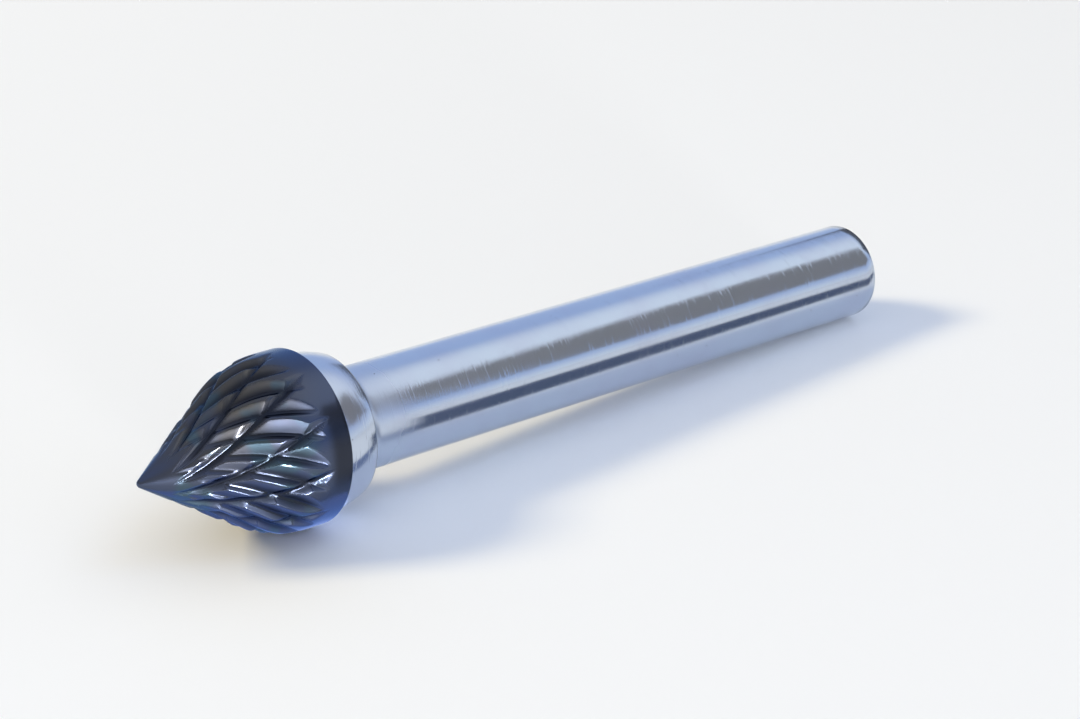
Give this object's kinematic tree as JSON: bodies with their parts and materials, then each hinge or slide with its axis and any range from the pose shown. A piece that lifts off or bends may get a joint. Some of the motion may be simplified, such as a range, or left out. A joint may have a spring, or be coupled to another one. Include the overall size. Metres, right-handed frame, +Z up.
{
  "type": "carbide burr",
  "caption": "Rotary cutter: a pointed carbide cone with crossed helical grooves, brazed to a straight steel shank that a die grinder's collet clamps.",
  "frame": {"origin": "on the surface the burr lies on, under the middle of its length", "axes": "+X from the tip towards the end of the shank, +Z up; the spin axis tilts down 2.57 degrees towards +X because the burr lies on the head and on the end of the shank"},
  "size_m": [0.0556, 0.01, 0.01],
  "materials": {
    "carbide": "dark ground tungsten carbide, semi-gloss, with bright tooth edges",
    "steel": "bright ground steel with fine marks around the shank"
  },
  "bodies": {
    "root": {"carbide_head": "carbide", "steel_shank": "steel"}
  },
  "joints": []
}
